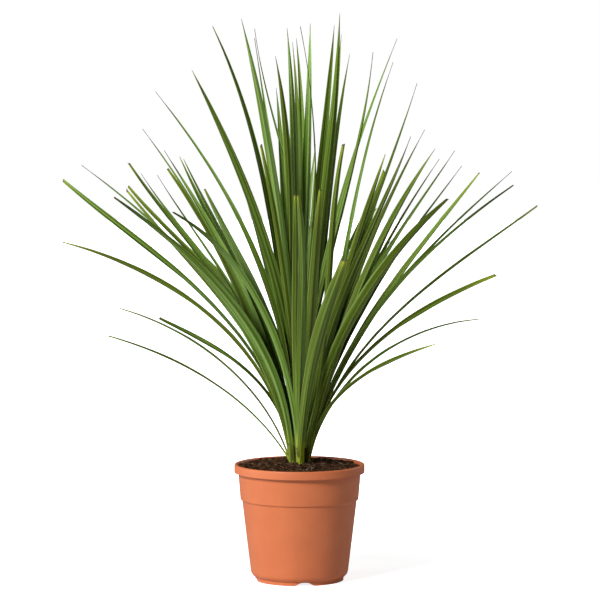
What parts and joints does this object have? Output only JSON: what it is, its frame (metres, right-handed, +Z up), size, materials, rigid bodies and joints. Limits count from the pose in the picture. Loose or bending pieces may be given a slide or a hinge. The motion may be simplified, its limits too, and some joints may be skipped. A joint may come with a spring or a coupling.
{
  "type": "potted cabbage tree",
  "caption": "Young mountain cabbage tree with long, narrow, arching leaves on short stems in a round plastic nursery pot filled with soil.",
  "frame": {"origin": "On the ground under the middle of the pot.", "axes": "+Z up along the pot's axis, towards the leaf tips. +X to the right seen from the front, and the front faces -Y."},
  "size_m": [0.6168, 0.6061, 0.737],
  "materials": {
    "pot": "satin terracotta-coloured plastic",
    "soil": "dark, crumbly compost of peat and bark",
    "leafy_stem_left": "smooth green leaf",
    "leafy_stem_front": "smooth green leaf",
    "leafy_stem_right": "smooth green leaf",
    "leafy_stem_back": "smooth green leaf",
    "leafy_stem_centre": "smooth green leaf"
  },
  "bodies": {
    "root": {"pot": "pot", "soil": "soil", "leafy_stem_left": "leafy_stem_left", "leafy_stem_front": "leafy_stem_front", "leafy_stem_right": "leafy_stem_right", "leafy_stem_back": "leafy_stem_back", "leafy_stem_centre": "leafy_stem_centre"}
  },
  "joints": []
}
